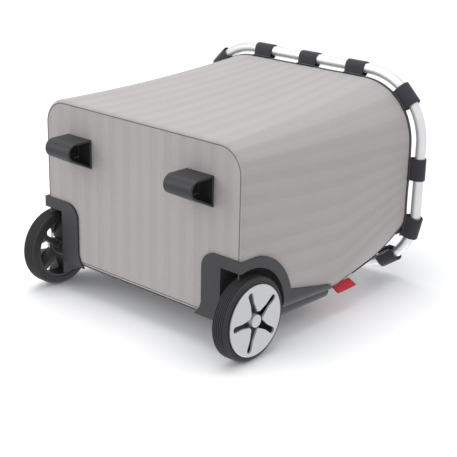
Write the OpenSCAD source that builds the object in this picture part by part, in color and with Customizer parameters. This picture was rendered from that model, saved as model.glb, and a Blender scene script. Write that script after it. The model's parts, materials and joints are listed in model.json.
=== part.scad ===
// Rolling basket trolley: a fabric basket hung in an aluminium rim, on two wheels and two feet,
// with a two-stage telescopic handle inside the back of the basket.
// +X is the right side, -Y the front, +Z up. The floor is z = 0, below the middle of the trolley.

/* [Basket] */
// Width of the basket across its bottom
basket_w = 368; // [300:4:460]
// Depth of the basket across its bottom
basket_d = 232.5; // [215:2.5:290]
// How far the basket's middle lies in front of the trolley's middle
basket_forward = 2.8; // [0:0.2:8]
// Height of the fabric walls
basket_h = 345; // [280:1:420]
// Height of the basket's bottom above the floor
base_z = 41; // [34:1:50]
// How far each side wall leans out at the top
side_flare = 8.5; // [4:0.5:16]
// How far the front wall leans out at the top
front_flare = 22.5; // [10:0.5:36]
// How far the back wall leans out at the top
back_flare = 14.5; // [6:0.5:20]
// Radius of the two front corners at the bottom
front_corner_r = 38; // [20:1:60]
// Radius of the two back corners at the bottom
back_corner_r = 14; // [8:1:24]
// Radius of all four corners at the top
top_corner_r = 84; // [60:1:90]
// Height above the bottom at which the back corners begin to open out
back_corner_start = 200; // [160:5:220]
// Depth of the notch in the top edge at each back corner
corner_dip = 84; // [20:1:100]
// How far the top edge lies lower along the back
back_drop = 4; // [4:0.5:12]
// Thickness of the fabric wall
fabric_t = 2; // [1.2:0.1:3]
// Height of the binding tape round the top edge
binding_h = 5; // [3:0.5:10]
// Thickness of the stiff board in the bottom
board_t = 3; // [2:0.5:5]

/* [Rim] */
// Outer diameter of the rim tube
rim_tube_d = 15; // [12:0.5:20]
// Wall of the rim tube
rim_tube_wall = 1.2; // [0.8:0.1:2]
// Gap between the fabric's outer face and the rim tube
rim_offset = 2.5; // [1.5:0.5:6.5]
// Height of the rim tube's middle above the fabric's edge
rim_lift = 11; // [10:0.5:18]
// Width of one webbing loop
loop_w = 32; // [20:1:40]
// Thickness of the webbing
loop_t = 1.6; // [1:0.1:2.5]

/* [Wheels] */
// Radius of the wheel over the tyre
wheel_r = 56; // [46:1:66]
// Width of the tyre
tyre_w = 22.5; // [18:0.5:28]
// Thickness of the tyre from tread to bead
tyre_t = 11; // [8:0.5:14]
// Number of grooves round the tread
tread_grooves = 6; // [3:1:8]
// Number of spokes, and of slots in the cap
spokes = 5; // [4:1:7]
// Distance from the basket's back face forward to the axle
axle_inset = 8.5; // [8:0.5:20]
// How far the cap's face stands out from the basket's side
wheel_stand_out = 14; // [10:0.5:20]
// Diameter of the axle
axle_d = 8; // [6:0.5:10]
// Gap between the tyre and the wheel well
wheel_gap = 10; // [6:0.5:14]

/* [Handle] */
// Distance between the two columns of tubes
column_gap = 144; // [110:2:160]
// Outer diameter of the fixed tubes
outer_tube_d = 22; // [20:0.5:26]
// Outer diameter of the middle tubes
middle_tube_d = 17.5; // [15:0.5:18]
// Outer diameter of the inner tubes
inner_tube_d = 13.5; // [11:0.5:14]
// Wall of the fixed tubes
outer_tube_wall = 1.2; // [0.8:0.1:1.4]
// Wall of the two sliding tubes
slide_tube_wall = 1; // [0.8:0.1:1.2]
// Travel of each of the two stages
stage_travel = 255; // [180:5:258]
// Length of each guide bush
bush_l = 36; // [24:1:44]
// Radius of the grip bar
grip_r = 11; // [10:0.5:14]
// Travel of the release button
button_travel = 4; // [2:0.5:5]

/* [Feet] */
// Width of one foot
foot_w = 49; // [36:1:60]
// Length of one foot where it meets the bottom
foot_l = 41; // [36:1:50]
// Radius of the foot's nose
foot_nose_r = 13; // [9:0.5:16]
// Distance from the basket's front to the feet
foot_inset = 45; // [30:1:60]
// Distance from the basket's side to the middle of a foot
foot_side_inset = 71.5; // [50:0.5:90]

/* [Mouldings] */
// Wall of the plastic mouldings
wall = 3; // [2:0.25:4]
// Height of the housing's strip above the basket's bottom
strip_h = 187; // [150:1:200]
// Reach of the housing under the bottom, in from the basket's side
plate_reach = 65; // [60:1:75]
// How far the rear pan stands out behind the basket
pan_depth = 20; // [14:1:26]
// Radius of a screw's thread
screw_r = 2; // [1.5:0.1:2.5]

/* [Hidden] */
$fn = 64;
running_gap = 0.05;  // radial clearance of a sliding or turning fit
skin_gap = 0.3;      // clearance between a moulding and the fabric behind it
easy_gap = 0.5;      // clearance round parts that only lie side by side
stop_gap = 1;        // what is left before a handle stage meets its stop
embed = 0.5;         // how far one form of a moulding is sunk into the next, to join them

front_y0 = -(basket_d / 2 + basket_forward);
back_y0 = basket_d / 2 - basket_forward;
side_x0 = basket_w / 2;
top_z = base_z + basket_h;
rim_z = top_z + rim_lift;
rim_r = rim_tube_d / 2;
rim_reach = rim_offset + rim_r;
rim_bore_r = rim_r - rim_tube_wall;
rim_side_x = side_x0 + side_flare + rim_reach;
rim_front_y = front_y0 - front_flare - rim_reach;
rim_back_y = back_y0 + back_flare + rim_reach;
rim_corner_r = top_corner_r + rim_reach;
rim_cx = rim_side_x - rim_corner_r;
rim_front_cy = rim_front_y + rim_corner_r;
rim_back_cy = rim_back_y - rim_corner_r;
sleeve_r = rim_r + skin_gap;
loop_tail = rim_lift + 14;
front_loop_x = rim_cx - 22.5;
side_loop_y = rim_front_cy + 35.5;
FRONT_LOOP_ANGLE = 45;
BACK_LOOP_ANGLES = [13, 55];
spigot_l = 60;
NOTCH_ANGLE = 10;    // where the notch begins, on the back corners
edge_rise = 10;      // height below the edge at which a back corner has its full radius
strap_top = 9;

board_z = base_z + fabric_t;
floor_z = board_z + board_t;

axle_y = back_y0 - axle_inset;
axle_z = wheel_r;
axle_r = axle_d / 2;
cap_t = 3;
cap_face_x = side_x0 + wheel_stand_out;
core_face_x = cap_face_x - cap_t;
tyre_x1 = core_face_x - easy_gap;
tyre_x0 = tyre_x1 - tyre_w;
bead_r = wheel_r - tyre_t;
cap_r = bead_r + 2.5;
hub_r = 11;
wheel_bush_r = axle_r + 2;
wheel_bush_l = 10;
hub_x0 = tyre_x0 - 4;
hub_x1 = core_face_x - 5;
spoke_w = 7;
core_rim_t = 4;
cap_hole_r = hub_r + 1.5;
cap_edge = 1;
slot_root_w = 12;
slot_w = 7;
slot_end_w = 8.5;
slot_r = cap_r - 9;
hub_disc_r = hub_r - 2.5;
hub_disc_wall = 1.5;
clip_x = hub_x1 + 0.5;
groove_depth = 0.8;
tread_r = 4;
tread_depth = 1.2;
washer_t = 1;
clip_t = 1;

well_r = wheel_r + wheel_gap;
well_x = tyre_x0 - 20;
well_wall = 2.5;
boss_r = 10;
boss_x0 = well_x - 24;
boss_x1 = hub_x0 - washer_t - 2 * easy_gap;
block_r = axle_inset - fabric_t - skin_gap;
axle_head_r = block_r - skin_gap;
axle_head_t = 3;
arch_r = well_r + 15;
arch_end = 102;      // angle on the arch where the strip begins
plate_x = side_x0 - plate_reach;
plate_front_y = axle_y - arch_r + 2;
plate_corner_r = 22;
back_edge_x = well_x - 2;
pan_y = back_y0 + pan_depth;
pan_x = side_x0 - 4;
pan_r = 14;
pan_root = 6;        // how far the pan's walls are drawn into the basket, then cut away
post_r = 4.5;
post_y = [plate_front_y + 15, plate_front_y + 50];
post_x = plate_x + 15;

column_x = column_gap / 2;
socket_wall = 1.5;
outer_r = outer_tube_d / 2;
middle_r = middle_tube_d / 2;
inner_r = inner_tube_d / 2;
socket_r = outer_r + socket_wall;
column_y = back_y0 - fabric_t - socket_r - 0.5;
socket_h = 34;
socket_floor = 4;
web_t = 6;
bracket_z0 = top_z - back_drop + binding_h + 1;
outer_top_z = rim_z + rim_r + 9.5;
bush_flange_h = 4;
outer_bush_z = outer_top_z - bush_l;
plug_h = 12;
middle_plug_top = outer_bush_z - stage_travel - stop_gap;
middle_bottom_z = middle_plug_top - plug_h;
bridge_z = outer_top_z + bush_flange_h + stop_gap;
bridge_h = 11;
middle_top_z = bridge_z + bridge_h;
middle_bush_z = middle_top_z - bush_l;
inner_plug_top = middle_bush_z - stage_travel - stop_gap;
inner_bottom_z = inner_plug_top - plug_h;
grip_leg_z = middle_top_z + bush_flange_h + 6;
grip_axis_z = grip_leg_z + 22;
grip_wall = 2;
inner_top_z = grip_leg_z + 14;
button_top_z = grip_axis_z + grip_r + button_travel / 2;
button_w = 34;
button_d = 12;
rod_r = 1.5;
pillar_r = screw_r + 2;
pillar_x = column_x - 20;
yoke_z = grip_axis_z - 1;
yoke_w = 2.5;
yoke_h = 4;
yoke_tab = rod_r + 0.7;
spring_r = 3.2;
spring_wall = 0.8;
spring_z = grip_axis_z - sqrt(pow(grip_r - grip_wall, 2) - pow(spring_r, 2)) + easy_gap / 2;

screw_head_r = 2 * screw_r + 1;
screw_head_h = 2.2;
screw_clear_r = screw_r + running_gap;
clamp_x0 = column_x - 20;
clamp_x1 = column_x + 20;
clamp_screw_x = [clamp_x0 + 8, clamp_x1 - 8];
clamp_screw_z = (rim_z + rim_r + outer_top_z) / 2;
clamp_t = rim_r + 2.5;
bracket_screw_x = [-column_x + 24, column_x - 24];
bracket_screw_z = [floor_z + 8, floor_z + 26];
liner_t = 2;
liner_w = column_gap + 56;

foot_x = side_x0 - foot_side_inset;
foot_y = front_y0 + foot_inset;
foot_wall = 3;
foot_screw_y = [foot_y + 10, foot_y + 27];
foot_screw_l = 12;

tag_w = 15;
tag_l = 40;
tag_t = 1.2;
tag_z = base_z + strip_h + 6;
TAG_TURN = 30;       // angle in plan at which the tag stands out from the seam

// Corners of the basket, each as [side in X, side in Y].
BACK_RIGHT = [1, 1];
FRONT_RIGHT = [1, -1];
FRONT_LEFT = [-1, -1];
BACK_LEFT = [-1, 1];
SEAM_ANGLE = 55;     // where the back panel is sewn to the wrap, on the back corners

// Colours of the real materials.
FABRIC = "#b4b0ae";
TAPE = "#3a3a3d";
BLACK = "#3c3c3d";
RUBBER = "#2b2b2c";
SILVER = "#d6d6d8";
STEEL = "#9a9c9f";
RED = "#c8202f";

// ---- the basket's surface -------------------------------------------------------------------

function grow(z) = max(0, min(1, (z - base_z) / basket_h));
function side_x(z) = side_x0 + side_flare * pow(grow(z), 1.5);
function front_y(z) = front_y0 - front_flare * pow(grow(z), 1.7);
function back_y(z) = back_y0 + back_flare * pow(grow(z), 2.2);
function back_open(z) = max(0, (z - base_z - back_corner_start) /
                              (basket_h - edge_rise - back_corner_start));
function corner_r(c, z) = c[1] < 0
    ? front_corner_r + (top_corner_r - front_corner_r) * grow(z)
    : back_corner_r + (top_corner_r - back_corner_r) * min(1, back_open(z));

// A column of the basket's surface is [corner, angle] on a corner, or ["back", x] on the back
// wall, or ["side", sign, y] on a side wall.
function at(col, z, off) =
    col[0] == "back" ? [col[1], back_y(z) + off, z] :
    col[0] == "side" ? [col[1] * (side_x(z) + off), col[2], z] :
    let (c = col[0], r = corner_r(c, z))
    [c[0] * (side_x(z) - r + (r + off) * cos(col[1])),
     (c[1] < 0 ? front_y(z) + r : back_y(z) - r) + c[1] * (r + off) * sin(col[1]), z];

function corner(c, from, to, n = 8) = [for (i = [0 : n]) [c, from + (to - from) * i / n]];
WRAP = concat(corner(BACK_RIGHT, SEAM_ANGLE, 0), corner(FRONT_RIGHT, 0, 90),
              corner(FRONT_LEFT, 90, 0), corner(BACK_LEFT, 0, SEAM_ANGLE));
BACK = concat(corner(BACK_LEFT, SEAM_ANGLE, 90, 4), corner(BACK_RIGHT, 90, SEAM_ANGLE, 4));

// Top edge of a column: level, with a notch down to the seam at each back corner.
function on_back_corner(col) = is_list(col[0]) && col[0][1] > 0;
function notch(a) = a < SEAM_ANGLE
    ? corner_dip * max(0, (a - NOTCH_ANGLE) / (SEAM_ANGLE - NOTCH_ANGLE))
    : back_drop + (corner_dip - back_drop) * (90 - a) / (90 - SEAM_ANGLE);
function edge_z(col) = top_z - (on_back_corner(col) ? notch(col[1]) : 0);

function levels(n) = [for (i = [0 : n]) i / n];
WALL_LEVELS = levels(12);

// A sheet of the basket's surface between two offsets: rows go up, columns go round.
module skin(cols, z0, z1, off0, off1, closed = false, shares = WALL_LEVELS) {
    n = len(cols);
    m = len(shares);
    function z_of(j, i) = z0(cols[i]) + (z1(cols[i]) - z0(cols[i])) * shares[j];
    function id(s, j, i) = (s * m + j) * n + i % n;
    points = [for (off = [off0, off1]) for (j = [0 : m - 1]) for (i = [0 : n - 1])
              at(cols[i], z_of(j, i), off)];
    last = closed ? n - 1 : n - 2;
    function quad(a, b, c, d) = [[a, c, b], [a, d, c]];
    faces = [
        for (j = [0 : m - 2]) for (i = [0 : last]) each concat(
            quad(id(0, j, i), id(0, j, i + 1), id(0, j + 1, i + 1), id(0, j + 1, i)),
            quad(id(1, j, i), id(1, j + 1, i), id(1, j + 1, i + 1), id(1, j, i + 1))),
        for (i = [0 : last]) each concat(
            quad(id(0, 0, i), id(1, 0, i), id(1, 0, i + 1), id(0, 0, i + 1)),
            quad(id(0, m - 1, i), id(0, m - 1, i + 1), id(1, m - 1, i + 1), id(1, m - 1, i))),
        if (!closed) for (j = [0 : m - 2]) each concat(
            quad(id(0, j, 0), id(0, j + 1, 0), id(1, j + 1, 0), id(1, j, 0)),
            quad(id(0, j, n - 1), id(1, j, n - 1), id(1, j + 1, n - 1), id(0, j + 1, n - 1)))
    ];
    polyhedron(points, faces);
}

base_of = function (col) base_z;
edge_of = function (col) edge_z(col);

// Outline of the basket at one height, moved out by off.
function outline(z, off) = [for (col = concat(WRAP, BACK)) let (p = at(col, z, off)) [p[0], p[1]]];

module mirrored() {
    children();
    mirror([1, 0, 0]) children();
}

// A cylinder along +X between two places.
module rod_x(r, x0, x1) translate([x0, 0, 0]) rotate([0, 90, 0]) cylinder(r = r, h = x1 - x0);

module at_axle() translate([0, axle_y, axle_z]) children();

// What the right wheel well takes out of the basket, and what its axle block takes out.
module well_cut()
    at_axle() rod_x(well_r + well_wall + skin_gap, well_x - well_wall - skin_gap, side_x0 + 40);
// Room for the axle's head, which a small wheel brings down to the board.
module head_room()
    at_axle() rod_x(axle_head_r + easy_gap, boss_x0 - axle_head_t - easy_gap, boss_x0);

module block_cut() {
    head_room();
    r = block_r + skin_gap;
    translate([boss_x0 - skin_gap, axle_y - r, base_z - 1])
        cube([well_x - boss_x0, 2 * r, axle_z - base_z + 1]);
    at_axle() rod_x(r, boss_x0 - skin_gap, well_x);
}

module post_holes() for (y = post_y)
    translate([post_x, y, base_z - 1]) cylinder(r = post_r + easy_gap, h = 20);

module foot_holes() for (y = foot_screw_y)
    translate([foot_x, y, base_z - 1]) cylinder(r = screw_r + easy_gap, h = 20);

module bracket_hole_row(r, y0, y1) for (x = bracket_screw_x) for (z = bracket_screw_z)
    translate([x, y0, z]) rotate([-90, 0, 0]) cylinder(r = r, h = y1 - y0);

// ---- basket ---------------------------------------------------------------------------------

module basket_wrap() color(FABRIC) difference() {
    skin(WRAP, base_of, edge_of, -fabric_t, 0);
    mirrored() well_cut();
}

module basket_back() color(FABRIC) difference() {
    skin(BACK, base_of, edge_of, -fabric_t, 0);
    mirrored() well_cut();
    bracket_hole_row(screw_r + easy_gap, back_y0 - 20, back_y0 + 20);
}

module basket_bottom() color(FABRIC) difference() {
    translate([0, 0, base_z]) linear_extrude(fabric_t) polygon(outline(base_z, -fabric_t));
    mirrored() {
        well_cut();
        block_cut();
        post_holes();
        foot_holes();
    }
}

module base_board() color(TAPE) difference() {
    translate([0, 0, board_z]) linear_extrude(board_t)
        polygon(outline(base_z, -fabric_t - easy_gap));
    mirrored() {
        well_cut();
        block_cut();
        post_holes();
        foot_holes();
    }
}

module edge_binding() color(TAPE)
    skin(concat(WRAP, BACK), edge_of, function (col) edge_z(col) + binding_h,
         -fabric_t - 1, skin_gap, closed = true, shares = [0, 1]);

module back_liner() color(TAPE)
    translate([-liner_w / 2, column_y - socket_r - liner_t - 1, floor_z])
        cube([liner_w, liner_t, bracket_z0 - floor_z]);

// Folded cloth tag sewn into the right back seam.
module seam_tag() {
    root = at([BACK_RIGHT, SEAM_ANGLE], tag_z, easy_gap + tag_t);
    color(RED) translate([root[0], root[1], tag_z]) rotate([0, 0, TAG_TURN])
        translate([0, -tag_t / 2, 0]) cube([tag_w, tag_t, tag_l]);
}

// ---- rim ------------------------------------------------------------------------------------

// The rim's centre line, swept with a round rod.
module rim_rod(r) translate([0, 0, rim_z]) {
    for (s = [-1, 1]) {
        translate([s * rim_side_x, rim_front_cy, 0]) rotate([-90, 0, 0])
            cylinder(r = r, h = rim_back_cy - rim_front_cy);
        for (end = [[rim_front_cy, -1], [rim_back_cy, 1]])
            translate([s * rim_cx, end[0], 0]) rotate([0, 0, end[1] > 0 ? (s > 0 ? 0 : 90)
                                                                       : (s > 0 ? 270 : 180)])
                rotate_extrude(angle = 90) translate([rim_corner_r, 0]) circle(r = r);
    }
    for (y = [rim_front_y, rim_back_y]) translate([0, y, 0]) rod_x(r, -rim_cx, rim_cx);
}

module rim_tube() color(SILVER) difference() {
    rim_rod(rim_r);
    rim_rod(rim_bore_r);
    translate([-easy_gap, rim_back_y - rim_tube_d, rim_z - rim_tube_d])
        cube([2 * easy_gap, 2 * rim_tube_d, 2 * rim_tube_d]);
}

module rim_spigot() color(BLACK)
    translate([0, rim_back_y, rim_z])
        rod_x(rim_bore_r - running_gap, -spigot_l / 2, spigot_l / 2);

// Section of a loop: a sleeve round the tube and a tail down to the fabric, out along +X.
module loop_section() difference() {
    union() {
        circle(r = sleeve_r + loop_t);
        translate([-sleeve_r - loop_t, -loop_tail]) square([loop_t, loop_tail]);
    }
    circle(r = sleeve_r);
}

module corner_loop(c, angle) {
    span = loop_w / rim_corner_r * 180 / PI;
    start = c[0] * c[1] > 0 ? angle : -angle;
    turn = c[0] > 0 ? 0 : 180;
    translate([c[0] * rim_cx, c[1] < 0 ? rim_front_cy : rim_back_cy, rim_z])
        rotate([0, 0, turn + start - span / 2]) rotate_extrude(angle = span)
            translate([rim_corner_r, 0]) loop_section();
}

// A loop on a straight stretch, turned so that its outside faces away from the basket.
module straight_loop(x, y, turn)
    translate([x, y, rim_z]) rotate([0, 0, turn]) rotate([90, 0, 0])
        linear_extrude(loop_w, center = true) loop_section();

// Webbing from each rearmost corner loop down to the end of the seam.
module strap(c) {
    half = c[0] * loop_w / top_corner_r * 90 / PI;
    skin(corner(c, SEAM_ANGLE + half, SEAM_ANGLE - half, 4), function (col) top_z - corner_dip - 4,
         function (col) top_z - strap_top, easy_gap, easy_gap + loop_t, shares = levels(6));
}

module rim_loops() color(TAPE) {
    for (x = [-front_loop_x, 0, front_loop_x]) straight_loop(x, rim_front_y, -90);
    for (s = [-1, 1]) straight_loop(s * rim_side_x, side_loop_y, s > 0 ? 0 : 180);
    for (c = [FRONT_RIGHT, FRONT_LEFT]) corner_loop(c, FRONT_LOOP_ANGLE);
    for (c = [BACK_RIGHT, BACK_LEFT]) for (a = BACK_LOOP_ANGLES) corner_loop(c, a);
    straight_loop(0, rim_back_y, 90);
    for (c = [BACK_RIGHT, BACK_LEFT]) strap(c);
}

// ---- wheel housings and back plate ----------------------------------------------------------

// Outline of the housing seen from the side, in Y and Z.
function housing_outline() = let (top = base_z + strip_h, low = base_z - wall) concat(
    [[plate_front_y, low]],
    [for (i = [0 : 16]) let (a = 180 + (arch_end - 180) * i / 16)
        [max(plate_front_y, axle_y + arch_r * cos(a)), axle_z + arch_r * sin(a)]],
    [[axle_y - 13, axle_z + arch_r + 16], [axle_y, top - 12], [axle_y + 6, top - 3],
     [axle_y + 12, top], [back_y0 + 40, top], [back_y0 + 40, low]]);

HOUSING_COLS = concat([["back", back_edge_x]], corner(BACK_RIGHT, 90, 0, 6),
                      [["side", 1, axle_y - arch_r - 5]]);

module housing_skin() intersection() {
    skin(HOUSING_COLS, function (col) base_z - wall, function (col) base_z + strip_h,
         skin_gap, wall, shares = levels(8));
    translate([side_x0 / 2, 0, 0]) rotate([90, 0, 90]) linear_extrude(side_x0)
        polygon(housing_outline());
}

// The flat plate under the basket, with its two inner corners rounded.
module housing_plate() {
    r = plate_corner_r;
    back = back_y0 + wall;
    translate([0, 0, base_z - wall]) linear_extrude(wall - skin_gap / 3) polygon(concat(
        [[side_x0 + 1, back], [side_x0 + 1, plate_front_y]],
        [for (i = [0 : 8]) let (a = 270 - 90 * i / 8)
            [plate_x + r + r * cos(a), plate_front_y + r + r * sin(a)]],
        [[plate_x, back - 18], [plate_x - 4, back - 8], [plate_x - 12, back]]));
}

// Outline in plan of the right end of the pan behind the basket, moved in by d.
function pan_outline(d) = concat(
    [[back_edge_x + d, back_y0 - pan_root - d], [pan_x - d, back_y0 - pan_root - d]],
    [for (i = [0 : 6]) let (a = 90 * i / 6, r = pan_r - d)
        [pan_x - pan_r + r * cos(a), pan_y - pan_r + r * sin(a)]],
    [[back_edge_x + d, pan_y - d]]);

// What the basket takes out of the pan's walls.
module pan_cut(cols) skin(cols, function (col) base_z - wall - 1,
                          function (col) base_z + strip_h + 1, -2 * pan_root, skin_gap,
                          shares = levels(8));

module housing_pan() difference() {
    translate([0, 0, base_z - wall]) linear_extrude(strip_h + wall) polygon(pan_outline(0));
    translate([0, 0, base_z - 2 * wall]) linear_extrude(strip_h + wall) polygon(pan_outline(wall));
    pan_cut(concat([["back", back_edge_x - 1]], corner(BACK_RIGHT, 90, 0, 6)));
}

module housing_body() {
    housing_skin();
    housing_pan();
    housing_plate();
    intersection() {
        at_axle() rod_x(well_r + well_wall, well_x - well_wall, side_x0 + 1);
        translate([0, 0, base_z - wall]) cube([side_x0 + 1, back_y0 + wall, 2 * wheel_r + 60]);
    }
    at_axle() {
        rod_x(block_r, boss_x0, well_x);
        rod_x(boss_r, well_x - embed, boss_x1);
    }
    translate([boss_x0, axle_y - block_r, base_z - wall])
        cube([well_x - boss_x0, 2 * block_r, axle_z - base_z + wall]);
    for (y = post_y) translate([post_x, y, base_z - wall])
        cylinder(r = post_r, h = floor_z - base_z + wall);
}

module housing() difference() {
    housing_body();
    head_room();
    difference() {
        at_axle() rod_x(well_r, well_x, side_x0 + 40);
        at_axle() rod_x(boss_r, well_x - 1, boss_x1);
    }
    at_axle() rod_x(axle_r + running_gap, boss_x0 - 1, boss_x1 + 1);
    for (y = post_y) translate([post_x, y, base_z])
        cylinder(r = screw_clear_r, h = 20);
}

module wheel_housing_right() color(BLACK) housing();
module wheel_housing_left() color(BLACK) mirror([1, 0, 0]) housing();

module back_plate() color(BLACK) difference() {
    x = back_edge_x - easy_gap;
    skin([["back", -x], ["back", x]], function (col) floor_z,
         function (col) base_z + strip_h, skin_gap, wall, shares = levels(8));
    bracket_hole_row(screw_clear_r, back_y0 - 20, back_y0 + 20);
}

// ---- fasteners ------------------------------------------------------------------------------

// A pan-head screw: head above z = 0, thread below.
module screw(length) difference() {
    union() {
        cylinder(r = screw_head_r, h = screw_head_h);
        translate([0, 0, -length]) cylinder(r = screw_r, h = length + 1);
    }
    translate([0, 0, screw_head_h - 1.2]) cylinder(r = screw_r * 0.8, h = 2, $fn = 6);
}

module housing_screws() color(STEEL) mirrored() for (y = post_y)
    translate([post_x, y, floor_z]) screw(floor_z - base_z);

module foot_screws() color(STEEL) mirrored() for (y = foot_screw_y)
    translate([foot_x, y, floor_z]) screw(floor_z - base_z + foot_screw_l);

module bracket_screws() color(STEEL) for (x = bracket_screw_x) for (z = bracket_screw_z)
    let (y = back_y(z + screw_head_r) + wall + running_gap)
        translate([x, y, z]) rotate([-90, 0, 0]) screw(y - column_y - web_t / 2);

module clamp_screws() color(STEEL) mirrored() for (x = clamp_screw_x)
    translate([x, rim_back_y + clamp_t, clamp_screw_z]) rotate([-90, 0, 0])
        screw(clamp_t + 14);

// ---- wheels ---------------------------------------------------------------------------------

module left_side() mirror([1, 0, 0]) children();

// A ring about the wheel's axis from a profile of [radius, x].
module turned() at_axle() rotate([0, 90, 0]) rotate_extrude() children();

module tyre() {
    pitch = (tyre_w - 2 * tread_r) / (tread_grooves - 1);
    turned() difference() {
        union() {
            translate([bead_r, tyre_x0]) square([tyre_t - tread_r, tyre_w]);
            translate([wheel_r - tread_r, tyre_x0 + tread_r])
                square([tread_r, tyre_w - 2 * tread_r]);
            for (x = [tyre_x0 + tread_r, tyre_x1 - tread_r])
                translate([wheel_r - tread_r, x]) circle(r = tread_r);
        }
        for (i = [0 : tread_grooves - 1])
            translate([wheel_r - tread_depth, tyre_x0 + tread_r + i * pitch - tread_depth / 2])
                square([3, tread_depth]);
    }
}

module wheel_core() difference() {
    union() {
        turned() translate([bead_r - core_rim_t, tyre_x0 + 1])
            square([core_rim_t, core_face_x - tyre_x0 - 1]);
        turned() translate([axle_r, hub_x0]) square([hub_r - axle_r, hub_x1 - hub_x0]);
        for (i = [0 : spokes - 1]) at_axle() rotate([360 / spokes * i, 0, 0])
            translate([hub_x0 + 5, -spoke_w / 2, hub_r - embed])
                cube([core_face_x - hub_x0 - 5, spoke_w, bead_r - core_rim_t - hub_r + 2 * embed]);
    }
    at_axle() rod_x(wheel_bush_r, hub_x0 - 1, core_face_x + 1);
}

// The cap's opening is a star: a round middle and one slot between each two spokes of the core,
// each slot waisted and round at its end, so that light passes through.
module wheel_cap() difference() {
    turned() polygon([[cap_hole_r, core_face_x], [cap_r, core_face_x + cap_edge / 2],
                      [cap_r, cap_face_x - cap_edge], [cap_r - cap_edge, cap_face_x],
                      [cap_hole_r + cap_edge, cap_face_x], [cap_hole_r, cap_face_x - cap_edge]]);
    for (i = [0 : spokes - 1]) at_axle() rotate([360 / spokes * (i + 0.5), 0, 0]) {
        translate([core_face_x - 1, 0, 0]) rotate([90, 0, 90]) linear_extrude(cap_t + 2)
            polygon([for (s = [-1, 1]) each [for (p = s < 0 ? [[slot_root_w, cap_hole_r - 2],
                [slot_w, (cap_hole_r + slot_r) / 2], [slot_end_w, slot_r]] : [[slot_end_w, slot_r],
                [slot_w, (cap_hole_r + slot_r) / 2], [slot_root_w, cap_hole_r - 2]])
                [s * p[0] / 2, p[1]]]]);
        translate([0, 0, slot_r]) rod_x(slot_end_w / 2, core_face_x - 1, cap_face_x + 1);
    }
}

// A cup over the axle's end, standing on the core's hub.
module hub_disc() let (bore = hub_disc_r - hub_disc_wall, top = cap_face_x + 1.2) turned()
    polygon([[0, cap_face_x - cap_edge], [bore, cap_face_x - cap_edge], [bore, hub_x1],
             [hub_disc_r, hub_x1], [hub_disc_r, top - cap_edge], [hub_disc_r - cap_edge, top],
             [0, top]]);

module wheel_bushes() for (x = [hub_x0, hub_x1 - wheel_bush_l]) turned()
    translate([axle_r + running_gap, x]) square([wheel_bush_r - axle_r - running_gap, wheel_bush_l]);

module axle() difference() {
    union() {
        at_axle() rod_x(axle_r, boss_x0 - 1, clip_x + clip_t + 1.5);
        at_axle() rod_x(axle_head_r, boss_x0 - axle_head_t, boss_x0);
    }
    turned() translate([axle_r - groove_depth, clip_x - running_gap])
        square([2, clip_t + 2 * running_gap]);
}

module axle_washer() turned()
    translate([axle_r + running_gap, boss_x1 + 0.2]) square([4, washer_t]);

module axle_clip() turned()
    translate([axle_r - groove_depth + running_gap, clip_x]) square([3, clip_t]);

module tyre_right() color(RUBBER) tyre();
module tyre_left() color(RUBBER) left_side() tyre();
module wheel_core_right() color(BLACK) wheel_core();
module wheel_core_left() color(BLACK) left_side() wheel_core();
module wheel_cap_right() color(SILVER) wheel_cap();
module wheel_cap_left() color(SILVER) left_side() wheel_cap();
module hub_disc_right() color(SILVER) hub_disc();
module hub_disc_left() color(SILVER) left_side() hub_disc();
module wheel_bushes_right() color(SILVER) wheel_bushes();
module wheel_bushes_left() color(SILVER) left_side() wheel_bushes();
module axle_right() color(STEEL) axle();
module axle_left() color(STEEL) left_side() axle();
module axle_washers() color(STEEL) mirrored() axle_washer();
module axle_clips() color(STEEL) mirrored() axle_clip();

// ---- feet -----------------------------------------------------------------------------------

// Side outline of a foot: straight front, round nose, leaning back, moved in by inset.
function foot_outline(inset) = let (
        cy = foot_nose_r, cz = foot_nose_r, r = foot_nose_r - inset,
        py = foot_l - cy, pz = base_z - cz,
        lean = atan2(pz, py) - acos(foot_nose_r / norm([py, pz])),
        top = base_z - inset,
        back = cy + r * cos(lean) - (top - cz - r * sin(lean)) * tan(lean))
    concat([[inset, top]],
           [for (i = [0 : 16]) let (a = 180 + (180 + lean) * i / 16)
               [cy + r * cos(a), cz + r * sin(a)]],
           [[back, top]]);

module foot_prism(inset, x0, x1) translate([x0, foot_y, 0]) rotate([90, 0, 90])
    linear_extrude(x1 - x0) polygon(foot_outline(inset));

module foot() difference() {
    union() {
        difference() {
            foot_prism(0, foot_x - foot_w / 2, foot_x + foot_w / 2);
            for (s = [-1, 1]) foot_prism(foot_wall, foot_x + (s > 0 ? foot_wall / 2 : -foot_w / 2 - 1),
                                         foot_x + (s > 0 ? foot_w / 2 + 1 : -foot_wall / 2));
        }
        for (y = foot_screw_y) translate([foot_x, y, base_z - 18]) cylinder(r = post_r, h = 17);
    }
    for (y = foot_screw_y) translate([foot_x, y, base_z - 14]) cylinder(r = screw_clear_r, h = 20);
}

module foot_right() color(BLACK) foot();
module foot_left() color(BLACK) mirror([1, 0, 0]) foot();

// ---- handle brackets ------------------------------------------------------------------------

module at_column() translate([column_x, column_y, 0]) children();

module tube(r_out, r_in, z0, z1) translate([0, 0, z0]) difference() {
    cylinder(r = r_out, h = z1 - z0);
    translate([0, 0, -1]) cylinder(r = r_in, h = z1 - z0 + 2);
}

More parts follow.
